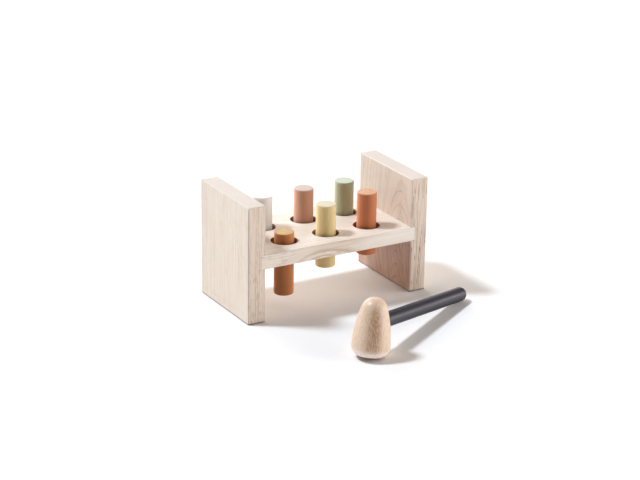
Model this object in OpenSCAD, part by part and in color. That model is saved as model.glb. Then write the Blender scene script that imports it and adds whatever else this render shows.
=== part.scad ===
// Peg pounding bench: a peg board housed between two upright end panels,
// six painted pegs that slide through rubber rings in the board, and a mallet
// that lies on the floor in front of the bench.
// Millimetres. +X runs along the bench to the right, +Y to the rear, +Z up.
// The floor is z = 0 and the origin is the middle of the floor area that the
// bench and the mallet cover together.

/* [Bench] */
// Length of the bench over the outer faces of the end panels
bench_l = 205; // [200:1:225]
// Depth of the end panels and of the peg board, front to rear
bench_d = 100; // [96:1:112]
// Height of the end panels
bench_h = 121; // [116:1:130]
// Thickness of each end panel
panel_t = 19; // [18:0.5:22]
// Rounding along the edges of the panels and of the peg board
edge_r = 1.2; // [0.6:0.1:2]

/* [Peg board] */
// Thickness of the peg board
board_t = 15; // [14:0.5:18]
// Height of the board's top face above the floor
board_top = 70.2; // [67:0.1:74]
// Depth of the housing groove that takes the board in each end panel
housing = 5; // [4:0.5:6]
// Distance between neighbouring peg holes along the bench
pitch_x = 47.6; // [45:0.1:49.5]
// Distance between the front and the rear row of peg holes
pitch_y = 44.7; // [42:0.1:48]
// Diameter of a peg hole
hole_d = 26.7; // [25:0.1:28]
// Size of the small chamfer round the mouths of a peg hole
hole_chamfer = 0.4; // [0.2:0.1:0.8]

/* [Hidden dowels] */
// Diameter of the glued dowels between the board and the panels
dowel_d = 8; // [6:1:8]
// Length of a dowel
dowel_l = 30; // [26:1:30]
// Distance of each dowel from the middle of the board, towards the front or rear
dowel_y = 30; // [27:1:34]

/* [Rubber rings] */
// Height of a rubber ring along its hole
ring_t = 5; // [4:0.5:6]
// Depth of the groove that holds a ring in the wall of its hole
groove = 1.65; // [1.4:0.05:2]
// Gap drawn between the lip of a ring and its peg
ring_gap = 0.05; // [0.02:0.01:0.1]

/* [Pegs] */
// Diameter of a peg
peg_d = 20; // [18:0.5:21]
// Length of a peg
peg_l = 65; // [60:1:66]
// Rounding at the ends of a peg
peg_r = 1; // [0.5:0.1:2]
// Height of the white peg's top above the board
white_up = 33.4; // [0:0.1:42]
// Height of the rose peg's top above the board
rose_up = 33.7; // [0:0.1:42]
// Height of the sage peg's top above the board
sage_up = 34.3; // [0:0.1:42]
// Height of the mustard peg's top above the board
mustard_up = 9.6; // [0:0.1:42]
// Height of the cream peg's top above the board
cream_up = 30.6; // [0:0.1:42]
// Height of the terracotta peg's top above the board
terracotta_up = 35.7; // [0:0.1:42]

/* [Mallet] */
// Height of the mallet's head
head_h = 57; // [54:0.5:62]
// Radius of the head at the outside of its base rounding
head_r = 18.7; // [17.5:0.1:20]
// Radius of the rounding round the head's base
base_r = 9; // [6:0.5:10]
// Radius of the domed top of the head
dome_r = 12.8; // [12:0.1:14]
// Radius of the gently bowed side of the head
side_r = 140; // [120:1:300]
// Diameter of the handle
handle_d = 14.7; // [13:0.1:16]
// Height of the handle's axis above the head's base
handle_z = 30.5; // [29:0.5:34]
// Distance of the handle's rounded tip from the head's axis
handle_reach = 175.2; // [160:0.1:185]
// Distance that the handle runs past the head's axis in its blind bore
handle_in = 6; // [4:0.5:7]
// Distance of the head from the middle of the bench, to the right
mallet_x = -37.6; // [-60:0.1:0]
// Distance of the head from the middle of the bench, to the rear
mallet_y = -170.4; // [-190:0.1:-160]
// Direction of the handle, turned from the length of the bench
mallet_turn = 26.5; // [10:0.5:40]

/* [Hidden] */
$fn = 96;

// Peg board between the panels
board_l = bench_l - 2 * panel_t + 2 * housing;
board_z = board_top - board_t;
hole_r = hole_d / 2;
groove_r = hole_r + groove;
ring_z = board_z + (board_t - ring_t) / 2;
ring_play = 0.15;
dowel_hole = 0.5;
dowel_in_panel = dowel_l / 3;
dowel_in_board = dowel_l - dowel_in_panel;

// Outline of the mallet's head: base rounding, bowed side and dome, each
// running smoothly into the next
head_c1 = [head_r - base_r, base_r];
head_c2 = [0, head_h - dome_r];
function bow_centre(c1, r1, c2, r2, rs) =
    let (d = c2 - c1, l = norm(d), u = d / l, a = rs - r1, b = rs - r2,
         x = (a * a - b * b + l * l) / (2 * l))
    c1 + u * x + [-u[1], u[0]] * sqrt(a * a - x * x);
bow_c = bow_centre(head_c1, base_r, head_c2, dome_r, side_r);
bow_1 = (head_c1 - bow_c) / norm(head_c1 - bow_c);
bow_2 = (head_c2 - bow_c) / norm(head_c2 - bow_c);
head_max = bow_1[1] < 0 && bow_2[1] > 0 ? bow_c[0] + side_r : head_r;
head_max_z = bow_1[1] < 0 && bow_2[1] > 0 ? bow_c[1] : base_r;

// The mallet leans on the rim of its head and on the tip of its handle
handle_r = handle_d / 2;
glue_gap = 0.06;
lean_x = handle_reach - handle_r - head_c1[0];
lean_z = handle_z - base_r;
lean = atan2(lean_z, lean_x) - asin((handle_r - base_r) / norm([lean_x, lean_z]));
mallet_z = base_r - (cos(lean) * head_c1[1] - sin(lean) * head_c1[0]);

// Floor area of the bench and the mallet together, and the shift that puts
// its middle at the origin
tip_x = mallet_x + handle_r
    + cos(mallet_turn) * (cos(lean) * (handle_reach - handle_r) + sin(lean) * handle_z);
head_y = mallet_y + sin(mallet_turn) * sin(lean) * head_max_z
    - head_max * norm([cos(mallet_turn), sin(mallet_turn) * cos(lean)]);
bench_x = -(max(bench_l / 2, tip_x) - bench_l / 2) / 2;
bench_y = -(bench_d / 2 + head_y) / 2;

// Rectangle with rounded corners, from the origin
module round_rect(w, h, r) {
    translate([r, 0]) square([w - 2 * r, h]);
    translate([0, r]) square([w, h - 2 * r]);
    for (x = [r, w - r], y = [r, h - r]) translate([x, y]) circle(r);
}

// Board with all its edges rounded, from the origin
module round_block(s, r) {
    intersection() {
        linear_extrude(s[2]) round_rect(s[0], s[1], r);
        translate([0, s[1], 0]) rotate([90, 0, 0]) linear_extrude(s[1]) round_rect(s[0], s[2], r);
        rotate([90, 0, 90]) linear_extrude(s[0]) round_rect(s[1], s[2], r);
    }
}

// Places things from the middle of the bench
module on_bench() translate([bench_x, bench_y, 0]) children();

// Places things on the axis of a peg hole: column -1, 0 or 1, row -1 or 1
module at_hole(col, row) on_bench() translate([col * pitch_x, row * pitch_y / 2, 0]) children();

// Places things on the axis of a dowel: side -1 or 1, end -1 or 1, with x
// pointing from the end of the board into the panel
module at_dowel(side, end) on_bench()
    translate([side * board_l / 2, end * dowel_y, board_z + board_t / 2])
        rotate([0, 0, side > 0 ? 0 : 180]) children();

// End panel on one side: housing groove right through from front to rear, and
// blind dowel holes in its floor
module end_panel(side) {
    difference() {
        on_bench() translate([side > 0 ? bench_l / 2 - panel_t : -bench_l / 2, -bench_d / 2, 0])
            round_block([panel_t, bench_d, bench_h], edge_r);
        on_bench() translate([side > 0 ? board_l / 2 - housing - 2 : -board_l / 2, -bench_d / 2 - 1, board_z])
            cube([housing + 2, bench_d + 2, board_t]);
        for (end = [-1, 1]) at_dowel(side, end) translate([-1, 0, 0]) rotate([0, 90, 0])
            cylinder(d = dowel_d, h = dowel_in_panel + dowel_hole + 1);
    }
}

// Space of one peg hole: chamfered mouths and the groove of its ring
module peg_hole() {
    c = hole_chamfer;
    rotate_extrude() polygon([
        [0, board_z - 1], [hole_r + c + 1, board_z - 1], [hole_r, board_z + c],
        [hole_r, ring_z], [groove_r, ring_z], [groove_r, ring_z + ring_t], [hole_r, ring_z + ring_t],
        [hole_r, board_top - c], [hole_r + c + 1, board_top + 1], [0, board_top + 1]
    ]);
}

// Dowel with eased ends, glued half in the board and half in the panel
module dowel(side, end) {
    color([0.83, 0.72, 0.58]) at_dowel(side, end) rotate([0, 90, 0]) rotate_extrude()
        polygon([
            [0, -dowel_in_board], [dowel_d / 2 - 1, -dowel_in_board], [dowel_d / 2, -dowel_in_board + 1],
            [dowel_d / 2, dowel_in_panel - 1], [dowel_d / 2 - 1, dowel_in_panel], [0, dowel_in_panel]
        ]);
}

// Rubber ring with a rounded lip that grips the peg
module ring(col, row) {
    lip_r = peg_d / 2 + ring_gap + ring_t / 2;
    color([0.16, 0.14, 0.13]) at_hole(col, row) translate([0, 0, ring_z]) rotate_extrude() {
        intersection() {
            translate([lip_r, ring_t / 2]) circle(ring_t / 2);
            square([lip_r, ring_t]);
        }
        translate([lip_r, 0]) square([groove_r - ring_play - lip_r, ring_t]);
    }
}

// Round peg with softened ends, its top the given height above the board
module peg(col, row, up) {
    at_hole(col, row) translate([0, 0, board_top + up - peg_l]) rotate_extrude() intersection() {
        translate([-peg_d / 2, 0]) round_rect(peg_d, peg_l, peg_r);
        square([peg_d, peg_l]);
    }
}

// Places the mallet as it lies, from the middle of its head's base with the
// handle along x
module on_floor() on_bench() translate([mallet_x, mallet_y, mallet_z])
    rotate([0, 0, mallet_turn]) rotate([0, lean, 0]) children();

// Half outline of the mallet's head
module head_outline() {
    intersection() {
        union() {
            square(head_c1);
            translate(head_c1) circle(base_r);
            translate(head_c2) circle(dome_r);
            intersection() {
                translate(bow_c) circle(side_r, $fn = 360);
                polygon([[0, base_r], head_c1, bow_c + bow_1 * (side_r + 5), bow_c + bow_2 * (side_r + 5), head_c2]);
            }
        }
        square([2 * head_r, head_h]);
    }
}

module left_end_panel() color([0.90, 0.82, 0.74]) end_panel(-1);
module right_end_panel() color([0.90, 0.82, 0.74]) end_panel(1);

module peg_board() color([0.92, 0.84, 0.76]) difference() {
    on_bench() translate([-board_l / 2, -bench_d / 2, board_z])
        rotate([90, 0, 90]) linear_extrude(board_l) round_rect(bench_d, board_t, edge_r);
    for (col = [-1, 0, 1], row = [-1, 1]) at_hole(col, row) peg_hole();
    for (side = [-1, 1], end = [-1, 1]) at_dowel(side, end) translate([1, 0, 0]) rotate([0, -90, 0])
        cylinder(d = dowel_d, h = dowel_in_board + dowel_hole + 1);
}

module left_front_dowel() dowel(-1, -1);
module left_rear_dowel() dowel(-1, 1);
module right_front_dowel() dowel(1, -1);
module right_rear_dowel() dowel(1, 1);

module rear_left_ring() ring(-1, 1);
module rear_middle_ring() ring(0, 1);
module rear_right_ring() ring(1, 1);
module front_left_ring() ring(-1, -1);
module front_middle_ring() ring(0, -1);
module front_right_ring() ring(1, -1);

module white_peg() color([0.93, 0.91, 0.89]) peg(-1, 1, white_up);
module rose_peg() color([0.78, 0.55, 0.48]) peg(0, 1, rose_up);
module sage_peg() color([0.62, 0.68, 0.55]) peg(1, 1, sage_up);
module mustard_peg() color([0.74, 0.46, 0.18]) peg(-1, -1, mustard_up);
module cream_peg() color([0.90, 0.81, 0.58]) peg(0, -1, cream_up);
module terracotta_peg() color([0.80, 0.44, 0.27]) peg(1, -1, terracotta_up);

module mallet_head() color([0.85, 0.70, 0.53]) on_floor() difference() {
    rotate_extrude() head_outline();
    translate([-handle_in - 1, 0, handle_z]) rotate([0, 90, 0]) cylinder(d = handle_d + 2 * glue_gap, h = 2 * head_r);
}

module mallet_handle() color([0.27, 0.26, 0.28]) on_floor()
    translate([-handle_in, 0, handle_z]) rotate([0, 90, 0]) rotate_extrude() {
        polygon([
            [0, 0], [handle_r - 1, 0], [handle_r, 1],
            [handle_r, handle_in + handle_reach - handle_r], [0, handle_in + handle_reach - handle_r]
        ]);
        intersection() {
            translate([0, handle_in + handle_reach - handle_r]) circle(handle_r);
            square([handle_d, handle_in + handle_reach]);
        }
    }

left_end_panel();
right_end_panel();
peg_board();
left_front_dowel();
left_rear_dowel();
right_front_dowel();
right_rear_dowel();
rear_left_ring();
rear_middle_ring();
rear_right_ring();
front_left_ring();
front_middle_ring();
front_right_ring();
white_peg();
rose_peg();
sage_peg();
mustard_peg();
cream_peg();
terracotta_peg();
mallet_head();
mallet_handle();
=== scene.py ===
import math

import bpy
from mathutils import Euler, Matrix, Vector

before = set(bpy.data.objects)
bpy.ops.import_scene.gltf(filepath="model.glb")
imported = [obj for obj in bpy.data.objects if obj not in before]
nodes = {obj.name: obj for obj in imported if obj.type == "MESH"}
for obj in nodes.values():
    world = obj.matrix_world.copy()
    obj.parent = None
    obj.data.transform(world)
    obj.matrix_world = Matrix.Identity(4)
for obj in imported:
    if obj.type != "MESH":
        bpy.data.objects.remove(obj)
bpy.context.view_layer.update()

# Places of the pieces, metres, in the row frame
PANEL_IN_L, PANEL_IN_R = -0.09342, 0.07358
BOARD_END_L, BOARD_END_R = -0.09842, 0.07858
BOARD_Z0, BOARD_Z1 = 0.0552, 0.0702
FRONT_Y, REAR_Y = 0.01924, 0.11924
MALLET_AT = (-0.047517, -0.101161, 0.0015)
MALLET_TURN, MALLET_LEAN = math.radians(26.5), math.radians(8.341)
HANDLE_Z = 0.0305
MM = (0.001, 0.001, 0.001)


# ---------------------------------------------------------------- node helpers

class Graph:
    """One material, with short calls that add nodes to it."""

    def __init__(self, name):
        self.mat = bpy.data.materials.new(name)
        self.mat.use_nodes = True
        self.tree = self.mat.node_tree
        self.tree.nodes.clear()
        self.out = self.new("ShaderNodeOutputMaterial")
        self.bsdf = self.new("ShaderNodeBsdfPrincipled")
        self.tree.links.new(self.bsdf.outputs[0], self.out.inputs[0])
        self.object = self.new("ShaderNodeTexCoord").outputs["Object"]

    def new(self, kind):
        return self.tree.nodes.new(kind)

    def put(self, socket, value):
        if isinstance(value, bpy.types.NodeSocket):
            self.tree.links.new(value, socket)
        elif isinstance(value, (tuple, list)) and len(value) == 3 and len(socket.default_value) == 4:
            socket.default_value = (*value, 1.0)
        else:
            socket.default_value = value

    def m(self, op, a, b=None, c=None, clamp=False):
        n = self.new("ShaderNodeMath")
        n.operation, n.use_clamp = op, clamp
        for i, x in enumerate((a, b, c)):
            if x is not None:
                self.put(n.inputs[i], x)
        return n.outputs[0]

    def v(self, op, a, b=None):
        n = self.new("ShaderNodeVectorMath")
        n.operation = op
        self.put(n.inputs[0], a)
        if b is not None:
            self.put(n.inputs[1], b)
        return n.outputs["Value"] if op in ("LENGTH", "DOT_PRODUCT", "DISTANCE") else n.outputs["Vector"]

    def local(self, at=(0, 0, 0), turn=(0, 0, 0), unit=MM):
        """Coordinates of a piece's own axes: place and turn undone, in millimetres."""
        n = self.new("ShaderNodeMapping")
        n.vector_type = "TEXTURE"
        self.put(n.inputs["Vector"], self.object)
        self.put(n.inputs["Location"], at)
        self.put(n.inputs["Rotation"], turn)
        self.put(n.inputs["Scale"], unit)
        return n.outputs[0]

    def parts(self, vec):
        n = self.new("ShaderNodeSeparateXYZ")
        self.put(n.inputs[0], vec)
        return n.outputs[0], n.outputs[1], n.outputs[2]

    def join(self, x, y, z):
        n = self.new("ShaderNodeCombineXYZ")
        for i, a in enumerate((x, y, z)):
            self.put(n.inputs[i], a)
        return n.outputs[0]

    def noise(self, vec, size=(1, 1, 1), shift=(0, 0, 0), detail=2.0, rough=0.5, distort=0.0, colour=False):
        """Noise whose features are about size millimetres across."""
        n = self.new("ShaderNodeTexNoise")
        p = self.v("DIVIDE", self.v("ADD", vec, shift), size)
        self.put(n.inputs["Vector"], p)
        n.inputs["Scale"].default_value = 1.0
        n.inputs["Detail"].default_value = detail
        n.inputs["Roughness"].default_value = rough
        n.inputs["Distortion"].default_value = distort
        return n.outputs[1] if colour else n.outputs[0]

    def span(self, x, lo, hi, to_lo=0.0, to_hi=1.0, smooth=True):
        n = self.new("ShaderNodeMapRange")
        n.interpolation_type = "SMOOTHSTEP" if smooth else "LINEAR"
        for name, val in (("Value", x), ("From Min", lo), ("From Max", hi), ("To Min", to_lo), ("To Max", to_hi)):
            self.put(n.inputs[name], val)
        return n.outputs[0]

    def mix(self, fac, a, b, blend="MIX"):
        n = self.new("ShaderNodeMix")
        n.data_type, n.blend_type = "RGBA", blend
        self.put(n.inputs[0], fac)
        self.put(n.inputs[6], a)
        self.put(n.inputs[7], b)
        return n.outputs[2]

    def ramp(self, fac, stops):
        n = self.new("ShaderNodeValToRGB")
        e = n.color_ramp.elements
        while len(e) < len(stops):
            e.new(0.5)
        for el, (pos, col) in zip(e, stops):
            el.position, el.color = pos, (*col, 1.0)
        self.put(n.inputs[0], fac)
        return n.outputs[0]

    def bump(self, height, strength, distance, normal=None):
        n = self.new("ShaderNodeBump")
        n.inputs["Strength"].default_value = strength
        n.inputs["Distance"].default_value = distance
        self.put(n.inputs["Height"], height)
        if normal is not None:
            self.put(n.inputs["Normal"], normal)
        return n.outputs[0]

    def finish(self, colour, roughness, normal, ior=1.5, coat=0.0, coat_rough=0.2, sheen=0.0, sheen_rough=0.4, sheen_tint=(1, 1, 1)):
        self.put(self.bsdf.inputs["Base Color"], colour)
        self.put(self.bsdf.inputs["Roughness"], roughness)
        self.put(self.bsdf.inputs["Normal"], normal)
        self.bsdf.inputs["IOR"].default_value = ior
        self.bsdf.inputs["Coat Weight"].default_value = coat
        self.bsdf.inputs["Coat Roughness"].default_value = coat_rough
        self.put(self.bsdf.inputs["Sheen Weight"], sheen)
        self.bsdf.inputs["Sheen Roughness"].default_value = sheen_rough
        self.bsdf.inputs["Sheen Tint"].default_value = (*sheen_tint, 1.0)
        return self.mat


def srgb(r, g, b):
    """Linear colour of 8-bit display values."""
    return tuple((c / 255 / 12.92) if c <= 10 else ((c / 255 + 0.055) / 1.055) ** 2.4 for c in (r, g, b))


# ---------------------------------------------------------------- wood

def wood(name, at=(0, 0, 0), turn=(0, 0, 0), pith=(0, 0), tilt=(0, 0), ring=4.0, seed=0.0,
         light=(233, 219, 205), mid=(226, 208, 190), late=(208, 181, 157), pore=(146, 114, 92),
         ring_amount=0.5, streak_amount=0.6, face_pores=0.2, edge_pores=0.75, edge_rings=1.0, edge_painted_light=0.3, end_grain=0.25,
         edge_late=None, edge_colour=None, pore_size=(0.55, 0.55, 9.0), wander=2.2, rough=(0.40, 0.55), coat=0.0, swirl=None, stains=(), ior=1.5, sheen=0.0):
    """Solid wood: growth rings round a pith line, streaks, fibre and pores along
    the piece's local z axis, so every face is cut from the same grain. The
    narrow edges show more open pores and the ends weaker rings."""
    g = Graph(name)
    p = g.local(at, turn)
    s = (seed, seed * 1.7 + 3, seed * 0.6 - 5)
    # how much the surface is an edge or an end of the board
    normal = g.new("ShaderNodeTexCoord").outputs["Normal"]
    nx, ny, nz = g.parts(normal)
    side = g.m("MULTIPLY", ny, ny)
    along = g.v("DOT_PRODUCT", normal, tuple(Euler(turn).to_matrix() @ Vector((0, 0, 1))))
    end = g.m("MULTIPLY", along, along)
    # slow wander of the grain
    w1 = g.v("SUBTRACT", g.noise(p, (46, 46, 150), s, 2.0, 0.5, colour=True), (0.5, 0.5, 0.5))
    w2 = g.v("SUBTRACT", g.noise(p, (11, 11, 60), s, 2.0, 0.5, colour=True), (0.5, 0.5, 0.5))
    q = g.v("ADD", p, g.v("MULTIPLY", w1, (wander * 2.6, wander * 2.6, 0)))
    q = g.v("ADD", q, g.v("MULTIPLY", w2, (wander * 0.7, wander * 0.7, 0)))
    u, v, w = g.parts(q)
    # distance from the tilted pith line, in rings
    du = g.m("SUBTRACT", u, g.m("MULTIPLY_ADD", w, tilt[0], pith[0]))
    dv = g.m("SUBTRACT", v, g.m("MULTIPLY_ADD", w, tilt[1], pith[1]))
    d = g.m("SQRT", g.m("ADD", g.m("MULTIPLY", du, du), g.m("MULTIPLY", dv, dv)))
    if swirl:
        # grain bulged by a knot that lies below the surface
        centre, size, height = swirl
        off = g.v("DIVIDE", g.v("SUBTRACT", q, centre), size)
        d = g.m("ADD", d, g.m("MULTIPLY", g.m("EXPONENT", g.m("MULTIPLY", g.v("DOT_PRODUCT", off, off), -1.0)), height))
    # rings of uneven width
    uneven = g.noise(g.join(d, 0.0, g.m("MULTIPLY", w, 0.01)), (ring * 2.3, 1, 1), s, 1.0)
    ph = g.m("ADD", g.m("DIVIDE", d, ring), g.m("MULTIPLY", uneven, 1.3))
    t = g.m("FRACT", ph)
    late_band = g.m("MULTIPLY", g.span(t, 0.5, 0.9), g.span(t, 1.0, 0.9))
    early = g.m("MULTIPLY", g.span(t, 0.0, 0.06), g.span(t, 0.42, 0.08))
    # streaks and fibre, long along the grain
    streak = g.noise(p, (3.6, 3.6, 190), s, 3.0, 0.55)
    fine = g.noise(p, (0.9, 0.9, 48), s, 3.0, 0.6)
    fibre = g.noise(p, (0.28, 0.28, 9), s, 2.0, 0.6)
    cloud = g.noise(p, (34, 34, 70), (s[1], s[2], s[0]), 2.0, 0.5)
    # short dark pores, most of them in the early part of a ring
    pores = g.noise(p, pore_size, (s[2], s[0], s[1]), 1.0, 0.5)
    patch = g.noise(p, (6.5, 6.5, 42), (s[1] + 9, s[0], s[2]), 1.0)
    where = g.m("ADD", g.m("MULTIPLY", early, 0.10), g.m("MULTIPLY", g.span(patch, 0.35, 0.7), 0.10))
    pore_mask = g.span(g.m("ADD", pores, where), 0.70, 0.80)
    # long open vessels, cut lengthwise on the edges
    vessel = g.noise(p, (0.95, 0.95, 58), (s[1], s[2] + 5, s[0]), 2.0, 0.6)
    vessel_mask = g.m("MULTIPLY", g.span(g.m("ADD", vessel, g.m("MULTIPLY", patch, 0.14)), 0.58, 0.74), side)
    holes = g.m("MULTIPLY", pore_mask, g.m("MULTIPLY_ADD", side, edge_pores - face_pores, face_pores))
    holes = g.m("MULTIPLY", holes, g.m("MULTIPLY_ADD", end, -0.7, 1.0))
    # colour
    tone = g.m("ADD", g.m("MULTIPLY", g.m("SUBTRACT", streak, 0.5), 1.5 * streak_amount),
               g.m("MULTIPLY", g.m("SUBTRACT", fine, 0.5), 0.9 * streak_amount))
    tone = g.m("MULTIPLY", tone, g.m("MULTIPLY_ADD", end, -0.4, 1.0))
    tone = g.m("ADD", tone, g.m("MULTIPLY", g.m("SUBTRACT", cloud, 0.5), 0.5))
    tone = g.m("ADD", tone, g.m("MULTIPLY", g.m("SUBTRACT", fibre, 0.5), 0.25))
    tone = g.m("ADD", tone, g.m("MULTIPLY_ADD", end, 0.12, 0.42), clamp=True)
    col = g.ramp(tone, [(0.0, srgb(*light)), (0.5, srgb(*mid)), (1.0, srgb(*late))])
    col = g.mix(g.m("MULTIPLY", end, 0.8 * (1.0 - end_grain)), col, srgb(198, 189, 182))
    # Front and rear faces mixed paler: partly their own tone, partly painted light on those faces.
    col = g.mix(g.m("MULTIPLY", side, edge_painted_light), col, srgb(*(edge_colour or light)))
    rings = g.m("MULTIPLY", late_band, g.m("MULTIPLY_ADD", end, ring_amount * (end_grain - 1.0), ring_amount))
    rings = g.m("MULTIPLY", rings, g.m("MULTIPLY_ADD", side, edge_rings - 1.0, 1.0), clamp=True)
    rings = g.m("MULTIPLY", rings, g.span(g.noise(p, (22, 22, 75), (s[0] + 4, s[2], s[1]), 1.0), 0.3, 0.65, 0.35, 1.0))
    col = g.mix(rings, col, g.mix(side, srgb(*late), srgb(*edge_late)) if edge_late else srgb(*late))
    col = g.mix(g.m("MULTIPLY", vessel_mask, 0.62 * edge_pores), col, srgb(*pore))
    col = g.mix(holes, col, srgb(*pore))
    for stain, shade in stains:
        col = g.mix(stain(g), col, srgb(*shade))
    # sheen and relief
    ro = g.span(g.m("ADD", g.m("MULTIPLY", fine, 0.6), g.m("MULTIPLY", cloud, 0.4)), 0.3, 0.7, rough[0], rough[1], smooth=False)
    ro = g.m("ADD", ro, g.m("MULTIPLY", pore_mask, 0.15), clamp=True)
    height = g.m("SUBTRACT", g.m("ADD", g.m("MULTIPLY", fibre, 0.35), g.m("MULTIPLY", fine, 0.5)),
                 g.m("MULTIPLY", g.m("ADD", holes, vessel_mask, clamp=True), 0.9))
    height = g.m("SUBTRACT", height, g.m("MULTIPLY", late_band, 0.12))
    n = g.bump(height, 0.22, 0.0002)
    return g.finish(col, ro, n, ior=ior, coat=coat, coat_rough=0.4, sheen=sheen)


def joint_line(side):
    """Fine dark glue line where the board's end meets the floor of its housing."""
    def lines(g):
        x, y, z = g.parts(g.local())
        at = (BOARD_END_L if side < 0 else BOARD_END_R) * 1000
        near = g.span(g.m("ABSOLUTE", g.m("SUBTRACT", x, at)), 0.45, 0.05)
        inside = g.m("MULTIPLY", g.span(z, BOARD_Z0 * 1000 - 0.3, BOARD_Z0 * 1000), g.span(z, BOARD_Z1 * 1000 + 0.3, BOARD_Z1 * 1000))
        return g.m("MULTIPLY", g.m("MULTIPLY", near, inside), 0.6)
    return lines


def rounded_edge_band(lo, hi, amount, top=None):
    """Band along the rounded edges of a board, broken up along them: with a dark colour it darkens them, with a pale
    colour it is a painted highlight.
    """
    def edge_band(g):
        p = g.local()
        x, y, z = g.parts(p)
        dx, dy, dz = (g.m("SUBTRACT", g.m("ABSOLUTE", g.m("SUBTRACT", c, (a + b) / 2)), (b - a) / 2) for c, a, b in zip((x, y, z), lo, hi))
        second = g.m("MAXIMUM", g.m("MINIMUM", dx, dy), g.m("MINIMUM", g.m("MAXIMUM", dx, dy), dz))
        mask = g.m("MULTIPLY", g.span(second, -1.1, -0.35), g.span(g.noise(p, (5, 5, 14), (7, 3, 1), 2.0), 0.25, 0.6, 0.45, 1.0))
        if top is not None:
            mask = g.m("MULTIPLY", mask, g.span(z, top, top - 3.0))
        return g.m("MULTIPLY", mask, amount)
    return edge_band


def painted_foot_shade(g):
    """Dark line along the foot of a panel: painted contact shade where it meets the floor."""
    p = g.local()
    x, y, z = g.parts(p)
    return g.m("MULTIPLY", g.span(z, 1.9, 0.5), g.span(g.noise(p, (6, 6, 6), (2, 8, 5), 2.0), 0.2, 0.6, 0.6, 0.9))


def drilled_and_shaded_bores(g):
    """Drilled walls of the peg holes and a thin ring round them, browner than the faces: drilled wood, darkened further
    as painted shade in the holes.
    """
    p = g.local()
    x, y, z = g.parts(p)
    column = g.m("MINIMUM", g.m("MAXIMUM", g.m("ROUND", g.m("DIVIDE", g.m("ADD", x, 57.517), 47.6)), 0.0), 2.0)
    row = g.m("MINIMUM", g.m("MAXIMUM", g.m("ROUND", g.m("DIVIDE", g.m("SUBTRACT", y, 46.889), 44.7)), 0.0), 1.0)
    wx = g.m("SUBTRACT", x, g.m("MULTIPLY_ADD", column, 47.6, -57.517))
    wy = g.m("SUBTRACT", y, g.m("MULTIPLY_ADD", row, 44.7, 46.889))
    far = g.m("SQRT", g.m("ADD", g.m("MULTIPLY", wx, wx), g.m("MULTIPLY", wy, wy)))
    return g.m("MULTIPLY", g.span(far, 13.9, 13.45), 0.85)


def heart_and_under_board_shade(g):
    """Redder heartwood figure low on the inner face of the right panel, darkened below the board as painted shade."""
    p = g.local()
    x, y, z = g.parts(p)
    bent = g.join(x, g.m("MULTIPLY_ADD", g.m("MULTIPLY", g.m("SUBTRACT", z, 58.0), g.m("SUBTRACT", z, 58.0)), 0.0035, y), z)
    grain = g.noise(bent, (1.7, 1.7, 34), (4, 9, 2), 3.0, 0.6)
    return g.m("MULTIPLY", g.m("MULTIPLY", g.span(z, 57.0, 50.0), g.span(x, 75.5, 74.0)), g.span(grain, 0.3, 0.68, 0.55, 1.0))


def heart_lines(g):
    """Dark nested lines of late wood in the heartwood of the right panel."""
    p = g.local()
    x, y, z = g.parts(p)
    sway = g.m("SUBTRACT", g.noise(p, (10, 10, 24), (6, 2, 5), 2.0, 0.5), 0.5)
    painted_light_across = g.m("ADD", g.m("SUBTRACT", y, 46.0), g.m("MULTIPLY", sway, 9.0))
    inside = g.m("SUBTRACT", g.m("SUBTRACT", 51.0, z), g.m("MULTIPLY", g.m("MULTIPLY", painted_light_across, painted_light_across), 0.17))
    line = g.span(g.m("FRACT", g.m("ADD", g.m("DIVIDE", inside, 14.0), g.m("MULTIPLY", sway, 0.9))), 0.24, 0.02)
    broken = g.span(g.noise(p, (5, 5, 16), (9, 4, 1), 2.0, 0.5), 0.3, 0.65, 0.3, 1.0)
    return g.m("MULTIPLY", g.m("MULTIPLY", line, g.span(x, 75.5, 74.0)), g.m("MULTIPLY", broken, g.span(z, 56.0, 53.0, 0.0, 0.6)))


def cathedral(g):
    """Thin nested arches of late wood on the inner face of the right panel."""
    p = g.local()
    x, y, z = g.parts(p)
    sway = g.m("SUBTRACT", g.noise(p, (14, 14, 26), (3, 6, 8), 2.0, 0.5), 0.5)
    painted_light_across = g.m("ADD", g.m("SUBTRACT", y, 41.0), g.m("MULTIPLY", sway, 7.0))
    inside = g.m("SUBTRACT", g.m("SUBTRACT", 103.5, z), g.m("MULTIPLY", g.m("MULTIPLY", painted_light_across, painted_light_across), 0.075))
    line = g.span(g.m("FRACT", g.m("ADD", g.m("DIVIDE", inside, 15.0), g.m("MULTIPLY", sway, 0.5))), 0.2, 0.02)
    line = g.m("MULTIPLY", line, g.m("MULTIPLY", g.span(inside, -1.0, 1.0), g.span(g.m("ABSOLUTE", painted_light_across), 34.0, 16.0)))
    broken = g.m("MULTIPLY", g.span(g.noise(p, (9, 9, 22), (5, 1, 7), 2.0, 0.5), 0.25, 0.6, 0.35, 1.0), g.span(inside, 34.0, 4.0, 0.45, 1.0))
    return g.m("MULTIPLY", g.m("MULTIPLY", line, g.span(x, 75.5, 74.0)), g.m("MULTIPLY", broken, 0.62))


def sap(g):
    """Paler sapwood along the right half of the board's front edge."""
    p = g.local()
    x, y, z = g.parts(p)
    grain = g.noise(p, (60, 5, 3), (8, 1, 6), 2.0, 0.5)
    return g.m("MULTIPLY", g.m("MULTIPLY", g.span(x, -12.0, 34.0), g.span(y, 21.5, 19.8)), g.span(grain, 0.25, 0.7, 0.95, 0.6))


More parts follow.
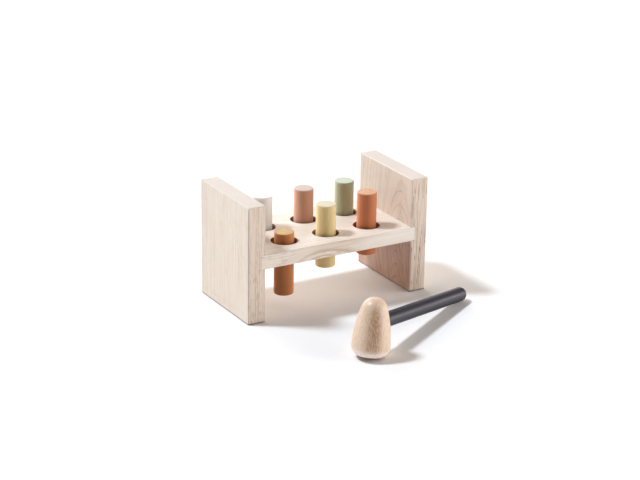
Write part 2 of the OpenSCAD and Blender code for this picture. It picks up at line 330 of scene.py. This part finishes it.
def figure_and_painted_shade(g):
    """Darker flecked figure down the front of the mallet's head: wood figure, deepened by painted shade in the middle
    of that side.
    """
    p = g.local(MALLET_AT, (0, MALLET_LEAN, MALLET_TURN))
    x, y, z = g.parts(p)
    off = g.m("ABSOLUTE", g.m("ADD", g.m("ARCTAN2", y, x), 2.49))
    fleck = g.noise(p, (0.9, 0.9, 3.4), (6, 2, 9), 2.0, 0.6)
    reach = g.m("MULTIPLY", g.span(z, 3.0, 14.0), g.span(z, 53.0, 42.0))
    return g.m("MULTIPLY", g.m("MULTIPLY", g.span(off, 0.62, 0.08), reach), g.span(fleck, 0.35, 0.62, 0.3, 0.85))


def flecks(g):
    """Short brown flecks all over the mallet's head."""
    p = g.local(MALLET_AT, (0, MALLET_LEAN, MALLET_TURN))
    fleck = g.noise(p, (0.7, 0.7, 4.6), (1, 7, 3), 2.0, 0.6)
    return g.m("MULTIPLY", g.span(fleck, 0.5, 0.72), 0.34)


def painted_rim_reflection(g):
    """Base rounding of the mallet's head, painted paler: a painted reflection of the floor."""
    p = g.local(MALLET_AT, (0, MALLET_LEAN, MALLET_TURN))
    x, y, z = g.parts(p)
    return g.m("MULTIPLY", g.span(z, 9.5, 5.5), g.span(g.noise(p, (3, 3, 3), (5, 5, 2), 3.0), 0.3, 0.65, 1.0, 0.7))


def painted_base_shade(g):
    """Dark line where the base of the mallet's head turns under: painted shade under the base."""
    p = g.local(MALLET_AT, (0, MALLET_LEAN, MALLET_TURN))
    x, y, z = g.parts(p)
    return g.m("MULTIPLY", g.span(z, 2.6, 0.7), g.span(g.noise(p, (4, 4, 4), (2, 9, 4), 2.0), 0.25, 0.65, 0.65, 0.9))


FRONT_MM, REAR_MM = FRONT_Y * 1000, REAR_Y * 1000
left_box = ((-112.42, FRONT_MM, 0.0), (-93.42, REAR_MM, 121.0))
right_box = ((73.58, FRONT_MM, 0.0), (92.58, REAR_MM, 121.0))
board_box = ((-98.42, FRONT_MM, 55.2), (78.58, REAR_MM, 70.2))
# Colours: darkening along rounded edges, painted contact shade at the panels' feet, drilled wood browned further with
# painted shade in the holes, and the glue line.
EDGE_DARK, FOOT_SHADE, BORE_BROWN_AND_SHADE, GLUE = (150, 118, 98), (84, 58, 44), (142, 92, 66), (118, 84, 62)
left_wood = wood("bench_wood_left", pith=(-101, -70), tilt=(0.02, 0.01), ring=4.6, seed=11.0,
                 light=(227, 214, 201), mid=(219, 204, 187), late=(205, 185, 164), pore=(150, 112, 84), ring_amount=0.28, streak_amount=0.7, face_pores=0.28, edge_pores=0.55, edge_painted_light=0.85, edge_colour=(226, 209, 193),
                 stains=((rounded_edge_band(*left_box, 0.55, 119.0), EDGE_DARK), (painted_foot_shade, FOOT_SHADE), (joint_line(-1), GLUE)))
right_wood = wood("bench_wood_right", pith=(73.58 + 60 - 0.093 * 104.9, 40.5), tilt=(0.093, 0.0), ring=4.6, seed=27.0,
                  light=(230, 215, 200), mid=(223, 204, 186), pore=(146, 108, 82), ring_amount=0.62, streak_amount=0.5, face_pores=0.36, edge_pores=0.95, edge_painted_light=0.85, edge_colour=(228, 210, 193),
                  # The pale band on this panel's rounded edges is a painted highlight over the shade of the rounded
                  # arris.
                  stains=((heart_and_under_board_shade, (178, 131, 108)), (heart_lines, (126, 80, 62)), (cathedral, (170, 128, 106)), (rounded_edge_band(*right_box, 0.55), (250, 236, 222)), (painted_foot_shade, FOOT_SHADE), (joint_line(1), GLUE)))
board_wood = wood("bench_wood_board", turn=(0, math.pi / 2, 0), pith=(-61.5, -11), tilt=(0.0, -0.021), ring=3.8, seed=43.0,
                  light=(240, 232, 221), mid=(234, 221, 206), late=(217, 194, 172),
                  ring_amount=0.4, streak_amount=0.55, face_pores=0.24, edge_pores=0.4, edge_rings=2.0, edge_painted_light=0.0, edge_late=(199, 167, 142),
                  swirl=((-54.0, 19.2, -29.0), (8.5, 14.0, 25.0), 8.0),
                  stains=((sap, (250, 240, 230)), (rounded_edge_band(*board_box, 0.2), EDGE_DARK), (drilled_and_shaded_bores, BORE_BROWN_AND_SHADE)))
dowel_wood = wood("dowel_wood", turn=(0, math.pi / 2, 0), pith=(-50, 40), ring=2.6, seed=61.0, mid=(222, 196, 168))
head_wood = wood("mallet_wood", at=MALLET_AT, turn=(0, MALLET_LEAN, MALLET_TURN), pith=(-16, 30), tilt=(0.03, 0.0), ring=3.6, seed=83.0,
                 light=(233, 211, 187), mid=(226, 196, 167), late=(204, 167, 136), pore=(128, 86, 60),
                 ring_amount=0.3, streak_amount=0.45, face_pores=0.35, edge_pores=0.35, end_grain=1.0, pore_size=(0.5, 0.5, 4.6),
                 rough=(0.34, 0.46), coat=0.4, ior=1.45, sheen=0.0,
                 # On the mallet's head the paler base rounding is a painted reflection; the dark line under the base
                 # and the darkened middle of the front are painted shade.
                 stains=((painted_rim_reflection, (252, 235, 221)), (flecks, (150, 106, 76)), (figure_and_painted_shade, (166, 118, 84)), (painted_base_shade, (122, 80, 58))))


# ---------------------------------------------------------------- paint and rubber

def paint(name, colour, at, turn=(0, 0, 0), seed=0.0, rough=(0.32, 0.45), deep=0.7, pale=1.3, grain=0.85, sheen=1.0, painted_top_colour=None, radius=10.0, ior=1.4, uneven=(0.0, 0.0), painted_low_shade=0.0):
    """Satin paint over turned wood: colour drift, grain that shows through along
    the piece, painted light and shade across it and painted shade low on it,
    a paler top and rim that are a painted reflection and highlight, and fine orange peel."""
    g = Graph(name)
    p = g.local(at, turn)
    s = (seed, seed * 2.1 + 1, seed * 0.7)
    x, y, z = g.parts(p)
    r = g.m("SQRT", g.m("ADD", g.m("MULTIPLY", x, x), g.m("MULTIPLY", y, y)))
    drift = g.noise(p, (7, 7, 30), s, 2.0, 0.5)
    lines = g.noise(p, (0.9, 0.9, 40), s, 3.0, 0.6)
    peel = g.noise(p, (0.7, 0.7, 0.9), s, 2.0, 0.5)
    dust = g.noise(p, (0.35, 0.35, 0.35), s, 1.0, 0.5)
    base = srgb(*colour)
    dark = tuple(c * deep for c in base)
    lite = tuple(min(0.95, c * pale + 0.01) for c in base)
    tone = g.m("ADD", g.m("MULTIPLY", g.m("SUBTRACT", drift, 0.5), 0.55), g.m("MULTIPLY", g.m("SUBTRACT", lines, 0.5), 0.9 * grain))
    # Painted light and shade across the piece: one side paler than the other, and the edges at left and right, seen
    # from the front, paler than the middle.
    if any(uneven):
        painted_light_across = g.m("DIVIDE", g.v("DOT_PRODUCT", p, (-0.861, 0.509, 0.0)), radius)
        tone = g.m("SUBTRACT", tone, g.m("MULTIPLY", painted_light_across, uneven[0]))
        tone = g.m("SUBTRACT", tone, g.m("MULTIPLY", g.m("MULTIPLY_ADD", painted_light_across, painted_light_across, -0.35), uneven[1]))
    # Painted shade low on the piece: darker downwards from 8 mm below the top to 36 mm below it.
    if painted_low_shade:
        tone = g.m("ADD", tone, g.m("MULTIPLY", g.span(z, -8.0, -36.0), painted_low_shade))
    tone = g.m("ADD", tone, 0.5, clamp=True)
    col = g.ramp(tone, [(0.0, lite), (0.5, base), (1.0, dark)])
    col = g.mix(g.m("MULTIPLY", g.span(dust, 0.70, 0.78), 0.18), col, lite)
    # Paler top and rim: a painted reflection on the top and a painted highlight on its rim.
    if painted_top_colour:
        painted_top = g.m("MULTIPLY", g.span(z, -0.9, -0.1), g.span(g.noise(p, (3, 3, 3), (s[1], s[0], s[2]), 3.0, 0.6), 0.3, 0.65, 0.72, 1.0))
        top_rim_highlight = g.m("MULTIPLY", g.span(r, radius - 0.9, radius - 0.35), g.span(z, -1.3, -0.5))
        col = g.mix(g.m("MAXIMUM", painted_top, g.m("MULTIPLY", top_rim_highlight, 0.35)), col, srgb(*painted_top_colour))
        sheen = g.span(z, -0.9, -0.1, sheen, 0.0)
    ro = g.span(g.m("ADD", g.m("MULTIPLY", drift, 0.5), g.m("MULTIPLY", peel, 0.5)), 0.3, 0.7, rough[0], rough[1], smooth=False)
    height = g.m("ADD", g.m("MULTIPLY", peel, 0.5), g.m("MULTIPLY", lines, 0.7 * grain))
    n = g.bump(height, 0.12, 0.0002)
    most = max(base)
    return g.finish(col, ro, n, ior=ior, sheen=sheen, sheen_rough=0.7, sheen_tint=tuple(0.2 + 0.8 * c / most for c in base))


def rubber(name):
    g = Graph(name)
    p = g.local()
    speck = g.noise(p, (0.5, 0.5, 0.5), (3, 1, 4), 2.0, 0.6)
    cloud = g.noise(p, (6, 6, 6), (9, 2, 6), 2.0, 0.5)
    col = g.ramp(g.m("ADD", g.m("MULTIPLY", speck, 0.5), g.m("MULTIPLY", cloud, 0.5)),
                 [(0.3, srgb(52, 37, 30)), (0.7, srgb(76, 56, 46))])
    ro = g.span(cloud, 0.3, 0.7, 0.55, 0.75, smooth=False)
    return g.finish(col, ro, g.bump(speck, 0.2, 0.0001), ior=1.5)


# Columns: colour, top centre, seed, paler top colour (painted reflection), painted light across the side, painted shade
# low on the peg.
PEGS = {
    "white_peg": ((224, 219, 213), (-0.057517, 0.091589, 0.1036), 3.0, (225, 222, 218), (-0.1, 0.0), 0.0),
    "rose_peg": ((184, 134, 109), (-0.009917, 0.091589, 0.1039), 17.0, (198, 178, 161), (0.36, 0.1), 0.0),
    "sage_peg": ((162, 161, 127), (0.037683, 0.091589, 0.1045), 29.0, (193, 199, 180), (0.0, 0.0), 0.0),
    "mustard_peg": ((149, 84, 21), (-0.057517, 0.046889, 0.0798), 41.0, (196, 158, 94), (-0.62, 0.15), 0.4),
    "cream_peg": ((217, 190, 131), (-0.009917, 0.046889, 0.1008), 53.0, (207, 194, 167), (0.16, 0.6), 0.0),
    "terracotta_peg": ((182, 101, 51), (0.037683, 0.046889, 0.1059), 67.0, (209, 156, 116), (-0.06, 0.6), 0.0),
}
materials = {
    "left_end_panel": left_wood, "right_end_panel": right_wood, "peg_board": board_wood, "mallet_head": head_wood,
    "mallet_handle": paint("charcoal_paint", (28, 22, 37), MALLET_AT, (0, MALLET_LEAN + math.pi / 2, MALLET_TURN), 91.0,
                           rough=(0.40, 0.46), deep=0.8, pale=1.2, grain=0.7, sheen=0.0, ior=1.5),
}
for name, (colour, top, seed, painted_top_colour, uneven, painted_low_shade) in PEGS.items():
    materials[name] = paint(name.replace("peg", "paint"), colour, top, seed=seed, painted_top_colour=painted_top_colour, uneven=uneven, painted_low_shade=painted_low_shade)
ring_rubber = rubber("ring_rubber")
for name, node in nodes.items():
    mat = materials.get(name) or (ring_rubber if name.endswith("ring") else dowel_wood)
    node.data.materials.clear()
    node.data.materials.append(mat)


# ---------------------------------------------------------------- floor

def floor():
    mesh = bpy.data.meshes.new("floor")
    a, z = 15.0, -0.0001
    mesh.from_pydata([(-a, -a, z), (a, -a, z), (a, a, z), (-a, a, z)], [], [(0, 1, 2, 3)])
    ob = bpy.data.objects.new("floor", mesh)
    bpy.context.scene.collection.objects.link(ob)
    g = Graph("floor_paper")
    p = g.local()
    grainy = g.noise(p, (3, 3, 3), detail=3.0)
    col = g.ramp(grainy, [(0.3, (0.92, 0.892, 0.866)), (0.7, (0.95, 0.922, 0.896))])
    g.bsdf.inputs["Specular IOR Level"].default_value = 0.0
    g.put(g.bsdf.inputs["Base Color"], col)
    g.bsdf.inputs["Roughness"].default_value = 0.9
    mesh.materials.append(g.mat)


floor()


# ---------------------------------------------------------------- light

KEY_DIR = Vector((-0.82 * math.cos(math.radians(57)), 0.57 * math.cos(math.radians(57)), math.sin(math.radians(57)))).normalized()
KEY_POWER, KEY_COLOUR, KEY_ANGLE = 2.28, (0.92, 1.02, 1.14), 10.0
# soft boxes of the room: bearing from the camera's line of sight (to the right),
# height, spread and strength, cool on the window side and warm on the other
COOL, WARM = (1.0, 0.99, 0.99), (1.05, 0.975, 0.92)
ROOM_LEAST = 0.01
BOXES = ((COOL, ((312, 15, 12.0, 3.9), (262, 15, 14.0, 0.9), (98, 9, 16.0, 3.0), (64, -6, 42.0, 12.0), (82, 34, 16.0, 1.5))),
         (WARM, ((98, 9, 16.0, 3.3), (342, 17, 8.0, 2.75))))

sun = bpy.data.objects.new("key", bpy.data.lights.new("key", "SUN"))
sun.data.energy = KEY_POWER
sun.data.angle = math.radians(KEY_ANGLE)
sun.data.color = KEY_COLOUR
sun.rotation_mode = "QUATERNION"
sun.rotation_quaternion = KEY_DIR.to_track_quat("Z", "Y")
bpy.context.scene.collection.objects.link(sun)

world = bpy.data.worlds.new("studio")
bpy.context.scene.world = world
world.use_nodes = True
wt = world.node_tree
wt.nodes.clear()


def wnode(kind, **values):
    n = wt.nodes.new(kind)
    for key, val in values.items():
        n.inputs[key].default_value = val
    return n


def wmath(op, *values):
    n = wnode("ShaderNodeMath")
    n.operation = op
    for i, x in enumerate(values):
        if isinstance(x, float):
            n.inputs[i].default_value = x
        else:
            wt.links.new(x, n.inputs[i])
    return n.outputs[0]


direction = wnode("ShaderNodeTexCoord")
rooms = []
for tint, group in BOXES:
    total = None
    for bearing, rise, spread, strength in group:
        a, e = math.radians(bearing), math.radians(rise)
        towards = (math.cos(e) * (math.cos(a) * 0.509 + math.sin(a) * 0.861), math.cos(e) * (math.cos(a) * 0.861 - math.sin(a) * 0.509), math.sin(e))
        near = wnode("ShaderNodeVectorMath")
        near.operation = "DOT_PRODUCT"
        wt.links.new(direction.outputs["Generated"], near.inputs[0])
        near.inputs[1].default_value = towards
        box = wmath("MULTIPLY", wmath("EXPONENT", wmath("MULTIPLY_ADD", near.outputs["Value"], float(spread), -float(spread))), float(strength))
        total = wmath("ADD", box, ROOM_LEAST / 2 if total is None else total)
    rooms.append(wnode("ShaderNodeBackground", Color=(*tint, 1.0)))
    wt.links.new(total, rooms[-1].inputs["Strength"])
room, plain = wnode("ShaderNodeAddShader"), wnode("ShaderNodeBackground", Color=(1.0, 0.99, 0.98, 1.0), Strength=0.96)
path, both, end = wnode("ShaderNodeLightPath"), wnode("ShaderNodeMixShader"), wnode("ShaderNodeOutputWorld")
for one, two in ((rooms[0].outputs[0], room.inputs[0]), (rooms[1].outputs[0], room.inputs[1]), (path.outputs["Is Camera Ray"], both.inputs[0]),
                 (room.outputs[0], both.inputs[1]), (plain.outputs[0], both.inputs[2]), (both.outputs[0], end.inputs[0])):
    wt.links.new(one, two)


# ---------------------------------------------------------------- camera

cam = bpy.data.objects.new("camera", bpy.data.cameras.new("camera"))
right, up, back = Vector((0.863367, -0.504349, 0.015148)), Vector((0.163781, 0.308511, 0.937015)), Vector((-0.477255, -0.806507, 0.348961))
place = Matrix((right, up, back)).transposed().to_4x4()
place.translation = Vector((-0.968893, -1.562865, 0.759817))
cam.matrix_world = place
cam.data.sensor_width = 36.0
cam.data.lens = 112.442
cam.data.clip_start, cam.data.clip_end = 0.05, 60.0
bpy.context.scene.collection.objects.link(cam)
bpy.context.scene.camera = cam

view = bpy.context.scene.view_settings
view.view_transform = "Standard"
view.look = "None"
view.exposure, view.gamma = 0.0, 1.0

bpy.context.view_layer.update()
